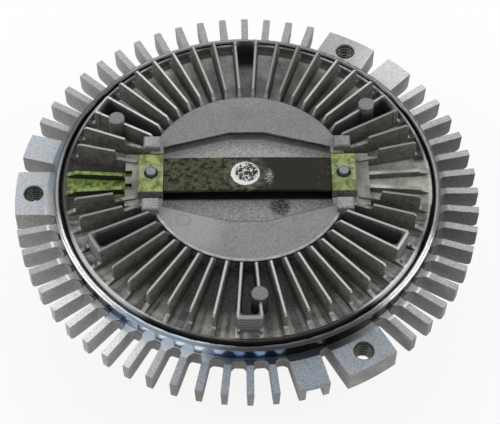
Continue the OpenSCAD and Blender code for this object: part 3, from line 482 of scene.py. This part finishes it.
    # End walls beside the clips
    end_wall = along.between(END_WALL_IN_X, END_WALL_OUT_X, 0.3)
    end_wall = end_wall * beside.rise(END_WALL_HALF_W + 0.2, END_WALL_HALF_W)
    end_wall = end_wall * z.rise(END_WALL - 0.4, END_WALL - 0.1)
    colour = f.mix(end_wall * flat, colour, f.mix(lit, (0.13, 0.13, 0.115, 1), (0.42, 0.43, 0.38, 1)))

    # Disc, with the trough across it: a black smudge, painted shade on the bank and a painted shadow under
    # the strip
    skin = f.mix(speckle, grey(0.175, -0.01), grey(0.31, -0.01))
    skin = f.mix(y.between(18, 30, 6) * 0.14, skin, grey(0.1))
    skin = f.mix(from_axis(x, y, DISC_PATCH).rise(16, 5) * 0.4, skin, grey(0.42, -0.02))
    skin = f.mix(cloud.rise(0.5, 0.75) * 0.3, skin, grey(0.14))
    trough_w = TROUGH_HALF_W - (along - TROUGH_FLAT_X).math("MAXIMUM", 0.0) * TROUGH_TAPER
    # Painted shade along the trough's near brink
    brink = (beside - trough_w).between(-0.1, 0.45, 0.2) * (-y).rise(0, 5)
    skin = f.mix(brink * 0.6, skin, grey(0.08))
    # Painted highlight along the disc's near edge
    brow = radius.between(DISC_R - 0.6, DISC_R + 0.4, 0.25) * (-y).rise(6, 18)
    skin = f.mix(brow * (0.35 + 0.5 * blotch), skin, grey(0.75))
    mark_r = from_axis(x, y, DISC_MARK)
    mark = mark_r.between(2.6, 2.9, 0.4) * 0.3 + mark_r.rise(2.9, 2.5) * 0.12
    skin = f.mix(mark, skin, grey(0.14))
    disc = middle * flat * z.rise(DISC - 0.8, DISC - 0.4)
    colour = f.mix(disc, colour, skin)

    in_trough = middle * z.rise(DISC - 0.6, DISC - 0.9) * along.rise(TROUGH_END_X + 0.2, TROUGH_END_X - 0.2)
    bed = f.mix(speckle, grey(0.15), grey(0.42))
    bed = f.mix(y.rise(6, 10) * 0.5, bed, f.mix(speckle, grey(0.26), grey(0.6)))
    # Painted shadow under the strip
    under_strip = beside.rise(STRIP_HALF_W + 1.2, STRIP_HALF_W - 0.3)
    smudge_r = from_axis(x, y, TROUGH_SMUDGE) + (mottle - 0.5) * 6
    smudge = smudge_r.rise(5.0, 2.5) * grit.rise(0.4, 0.55)
    bed = f.mix(smudge, bed, (0.012, 0.012, 0.012, 1))
    # Painted shade on the bank, darkest at its top
    bank = f.mix(z.rise(TROUGH, TROUGH + 2.2), grey(0.24), f.mix(blotch, grey(0.09), grey(0.16)))
    bank = f.mix(z.rise(DISC - 2.0, DISC - 1.2), bank, grey(0.03))
    trough = f.mix(under_strip, f.mix(flat, bank, bed), (0.008, 0.008, 0.007, 1))
    colour = f.mix(in_trough, colour, trough)

    # Lugs and pegs that hold the strip
    lug = along.between(PEG_X - LUG_HALF_L, PEG_X + LUG_HALF_L, 0.1)
    lug = lug * beside.between(LUG_IN_Y, LUG_OUT_Y, 0.1) * z.rise(DISC - 1, DISC)
    lug_skin = f.mix(flat, f.mix(speckle, grey(0.12), grey(0.3)), f.mix(speckle, grey(0.16), grey(0.4)))
    lug_skin = f.mix(x.rise(-5, 5) * y.rise(-5, 5) * 0.35, lug_skin, grey(0.08))
    colour = f.mix(lug, colour, lug_skin)

    peg_r = (along - PEG_X).length(y)
    peg = peg_r.rise(PEG_R + 0.15, PEG_R + 0.05) * z.rise(DISC - 0.5, DISC)
    # Painted shade round the edge of each peg's top and on its sides
    peg_top = f.mix(peg_r.rise(2.0, 1.5), grey(0.1), f.mix(speckle, grey(0.17, -0.04), grey(0.34, -0.04)))
    peg_skin = f.mix(flat, grey(0.09), peg_top)
    colour = f.mix(peg, colour, peg_skin)

    back = up.rise(-0.4, -0.6)
    colour = f.mix(back, colour, f.mix(cloud, grey(0.26), grey(0.4)))
    rubbed_and_highlight = crest.math("MAXIMUM", brim * edge)
    rough = 0.52 + 0.18 * grit - 0.18 * rubbed_and_highlight
    metal = 0.12 + 0.5 * rubbed_and_highlight
    height = grit * 0.7 + mottle * 0.4
    relief = f.bump(height, 0.1, edge=0.45)
    return f.wear(Base_Color=colour, Roughness=rough, Metallic=metal, Normal=relief)


def strip_bimetal():
    """Dark olive and mottled at the left, near black at the right, with a dab of white paint between."""
    f = Finish("strip_bimetal", Specular_IOR_Level=0.12)
    point = f.place()
    x, y, _ = f.parts(point)
    _, _, up = f.facing()
    blotch = f.noise(point, 2.0, 4.0, 0.65)
    fine = f.noise(point, 0.8, 3.0, 0.7)
    right = (x + (blotch - 0.5) * 10).rise(1, 9)
    olive = f.mix(blotch.rise(0.36, 0.62), (0.01, 0.01, 0.007, 1), (0.08, 0.087, 0.046, 1))
    dark = f.mix(fine, (0.01, 0.01, 0.008, 1), (0.03, 0.029, 0.023, 1))
    rust = f.mix(blotch.rise(0.5, 0.66) * x.rise(24, 30), dark, (0.07, 0.05, 0.025, 1))
    colour = f.mix(right, olive, rust)

    from_dab = from_axis(x, y, PAINT_DAB)
    halo = from_dab.rise(10, PAINT_DAB_R) * blotch.rise(0.35, 0.65)
    colour = f.mix(halo * 0.5, colour, (0.17, 0.175, 0.15, 1))
    smear = (x - PAINT_SMEAR[0]).length((y - PAINT_SMEAR[1]) * 0.5) + (blotch - 0.5) * 5
    colour = f.mix(smear.rise(2.2, 1.0) * fine.rise(0.42, 0.6), colour, grey(0.33))
    dab = (from_dab + (blotch - 0.5) * 1.4).rise(PAINT_DAB_R + 0.2, PAINT_DAB_R - 0.2)
    chips = fine.rise(0.43, 0.5) * from_axis(x, y, PAINT_CHIPS).rise(4.9, 3.9)
    paint = f.mix(chips, (0.72, 0.72, 0.7, 1), (0.02, 0.02, 0.02, 1))
    colour = f.mix(dab * up.rise(0.8, 0.95), colour, paint)
    height = fine * 0.6 + dab * 0.8
    return f.wear(Base_Color=colour, Roughness=0.45 + 0.25 * fine, Normal=f.bump(height, 0.08))


def clip_plating():
    """Yellow-green plating with grey smears about the peg, worn grey sides and a painted shadow ring round
    the peg.
    """
    f = Finish("clip_plating", Metallic=0.15)
    point = f.place()
    x, y, _ = f.parts(point)
    _, _, up = f.facing()
    blotch = f.noise(point, 2.5, 4.0, 0.6)
    fine = f.noise(point, 0.6, 3.0, 0.7)
    plate = f.mix(blotch.rise(0.35, 0.65), (0.08, 0.12, 0.015, 1), (0.29, 0.345, 0.11, 1))
    from_peg = (abs(x) - PEG_X).length(y)
    rubbed_and_highlight = from_peg.rise(6.0, 2.5) * blotch.rise(0.4, 0.6)
    colour = f.mix(rubbed_and_highlight * 0.7, plate, (0.3, 0.31, 0.24, 1))
    # Painted shadow in a ring round the peg
    colour = f.mix(from_peg.between(2.0, 2.5, 0.25) * 0.6, colour, (0.05, 0.06, 0.025, 1))
    flank = f.mix(fine.rise(0.35, 0.65), grey(0.05), grey(0.3))
    colour = f.mix(up.rise(0.5, 0.2), colour, flank)
    return f.wear(Base_Color=colour, Roughness=0.4 + 0.2 * fine, Normal=f.bump(fine, 0.05, edge=0.3))


def seal_rubber():
    """Black rubber, with two painted highlights at its outer edge that follow the photograph."""
    f = Finish("seal_rubber", Specular_IOR_Level=0.25)
    point = f.place()
    x, y, _ = f.parts(point)
    radius, east, north, _ = around(x, y)
    cloud = f.noise(point, 2.0)
    colour = f.mix(cloud, grey(0.006), grey(0.018))
    # Painted highlights at the near left and near right
    pale = lobe(east, north, 219, 17).math("MAXIMUM", lobe(east, north, 323, 13))
    pale = pale * radius.rise(RIM_BORE_R - 0.8, RIM_BORE_R - 0.6)
    colour = f.mix(pale, colour, grey(0.4))
    return f.wear(Base_Color=colour, Roughness=0.55 + 0.2 * cloud, Normal=f.bump(cloud, 0.05))


def worked_metal(name, low, high, rough, turned=0.0):
    """Metal between two colours with a fine grain, and turning rings where turned is over 0."""
    f = Finish(name, Metallic=1.0)
    point = f.place()
    x, y, z = f.parts(point)
    cloud = f.noise(point, 5.0)
    height = f.noise(point, 0.5, 2.0)
    if turned:
        across = x.length(y) + z
        rings = f.add("TexNoise", {"noise_dimensions": "1D"}, {"W": across, "Scale": 4.0})
        height = height * (1 - turned) + rings * turned
    colour = f.mix(cloud, low, high)
    return f.wear(Base_Color=colour, Roughness=rough + 0.15 * cloud, Normal=f.bump(height, 0.03))


def wiper_plastic():
    """Brown moulded plastic."""
    f = Finish("wiper_plastic")
    cloud = f.noise(f.place(), 1.0)
    colour = f.mix(cloud, (0.1, 0.08, 0.05, 1), (0.16, 0.13, 0.08, 1))
    return f.wear(Base_Color=colour, Roughness=0.5 + 0.1 * cloud)


def dress_pieces():
    """Gives every piece its finish."""
    steel = worked_metal("turned_steel", grey(0.3), grey(0.46), 0.3, turned=0.8)
    spring = worked_metal("spring_steel", grey(0.1), grey(0.2), 0.4)
    ground = worked_metal("ground_steel", grey(0.55), grey(0.68), 0.16)
    sheet = worked_metal("rolled_sheet", grey(0.4), grey(0.55), 0.35)
    alloy = worked_metal("turned_alloy", grey(0.5), grey(0.62), 0.35, turned=0.8)
    brass = worked_metal("cage_brass", (0.5, 0.34, 0.1, 1), (0.65, 0.47, 0.17, 1), 0.3)
    rubber = seal_rubber()
    plating = clip_plating()
    finishes = {
        "rear_housing": housing_casting(),
        "front_cover": cover_casting(),
        "cover_seal": rubber,
        "bimetal_strip": strip_bimetal(),
        "left_strip_clip": plating,
        "right_strip_clip": plating,
        "control_pin": steel,
        "pin_seal": rubber,
        "separator_plate": sheet,
        "valve_lever": spring,
        "lever_rivets": steel,
        "pump_wiper": wiper_plastic(),
        "rotor": alloy,
        "rotor_retaining_ring": spring,
        "drive_hub": steel,
        "bearing_inner_ring": ground,
        "bearing_outer_ring": ground,
        "bearing_balls": ground,
        "bearing_cage": brass,
        "bearing_front_shield": rubber,
        "bearing_rear_shield": rubber,
        "bearing_retaining_ring": spring,
    }
    for name, finish in finishes.items():
        mesh = nodes[name].data
        mesh.materials.clear()
        mesh.materials.append(finish)


def cut_across(half, place, side, clear=False):
    """Cuts the strip across at one place, and clears what lies behind the cut where asked."""
    strip = half.verts[:] + half.edges[:] + half.faces[:]
    return bmesh.ops.bisect_plane(half, geom=strip, plane_co=(place, 0, 0), plane_no=(side, 0, 0),
                                  clear_inner=clear)


def strip_half(name, side):
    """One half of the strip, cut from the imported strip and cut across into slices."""
    slices = 24
    half = bmesh.new()
    half.from_mesh(nodes["bimetal_strip"].data)
    cut = cut_across(half, 0, side, clear=True)
    edges = [e for e in cut["geom_cut"] if isinstance(e, bmesh.types.BMEdge)]
    bmesh.ops.edgeloop_fill(half, edges=edges)
    for i in range(1, slices):
        cut_across(half, side * CLIP_IN_X * i / slices * MM, 1)
    mesh = bpy.data.meshes.new(name)
    half.to_mesh(mesh)
    half.free()
    mesh.materials.clear()
    mesh.materials.append(nodes["bimetal_strip"].data.materials[0])
    piece = bpy.data.objects.new(name, mesh)
    bpy.context.collection.objects.link(piece)
    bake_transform(piece)
    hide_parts("bimetal_strip")


def point_camera():
    """Camera at the photograph's angle, aimed a little in front of the middle of the fan's face."""
    azimuth = math.radians(-1.45)
    elevation = math.radians(54.47)
    roll = math.radians(-0.78)
    distance = 7.135 * TIP_R * MM
    aim_right = 0.0118 * TIP_R * MM
    aim_down = 0.0868 * TIP_R * MM
    out = math.cos(elevation)
    back = Vector((math.sin(azimuth) * out, -math.cos(azimuth) * out, math.sin(elevation)))
    level_right = Vector((0, 0, 1)).cross(back).normalized()
    level_up = back.cross(level_right)
    right = level_right * math.cos(roll) - level_up * math.sin(roll)
    up = level_up * math.cos(roll) + level_right * math.sin(roll)
    target = Vector((0, 0, FAN_FACE * MM)) + right * aim_right - up * aim_down
    data = bpy.data.cameras.new("photo_camera")
    data.sensor_width = 36.0
    data.lens = 118.84
    data.clip_end = 20.0
    camera = bpy.data.objects.new("photo_camera", data)
    bpy.context.collection.objects.link(camera)
    turn = Matrix((right, up, back)).transposed().to_4x4()
    camera.matrix_world = Matrix.Translation(target + back * distance) @ turn
    bpy.context.scene.camera = camera


def soft_box(name, place, size, power):
    """A square area light that looks at the clutch."""
    data = bpy.data.lights.new(name, "AREA")
    data.size = size
    data.energy = power
    light = bpy.data.objects.new(name, data)
    bpy.context.collection.objects.link(light)
    aim = Vector((0, 0, FAN_FACE * MM)) - Vector(place)
    light.matrix_world = Matrix.Translation(place) @ aim.to_track_quat("-Z", "Y").to_matrix().to_4x4()


def light_studio():
    """Soft boxes at the left, the right and behind, in a plain grey room."""
    room_light = 0.6
    soft_box("left_box", (-0.95, 0.0, 0.6), size=0.55, power=3.6)
    soft_box("right_box", (0.95, 0.0, 0.6), size=0.55, power=3.6)
    soft_box("rear_box", (0.0, 0.9, 0.85), size=0.8, power=3.2)
    world = bpy.data.worlds.new("studio")
    bpy.context.scene.world = world
    world.use_nodes = True
    background = world.node_tree.nodes["Background"]
    background.inputs["Color"].default_value = (1, 1, 1, 1)
    background.inputs["Strength"].default_value = room_light


def lay_floor():
    """Plain pale floor under the hub, wide enough to fill every view."""
    half = 6.0
    mesh = bpy.data.meshes.new("floor")
    corners = [(-half, -half, 0), (half, -half, 0), (half, half, 0), (-half, half, 0)]
    mesh.from_pydata(corners, [], [(0, 1, 2, 3)])
    floor = bpy.data.objects.new("floor", mesh)
    bpy.context.collection.objects.link(floor)
    f = Finish("pale_floor", Roughness=0.9, Specular_IOR_Level=0.1)
    cloud = f.noise(f.place(), 300.0, 2.0)
    mesh.materials.append(f.wear(Base_Color=f.mix(cloud, grey(0.93), grey(0.95))))
    f.glow_to_eye(share=0.85)


dress_pieces()
strip_half("strip_left_half", -1)
strip_half("strip_right_half", 1)
point_camera()
light_studio()
lay_floor()

bpy.context.scene.view_settings.view_transform = "Standard"
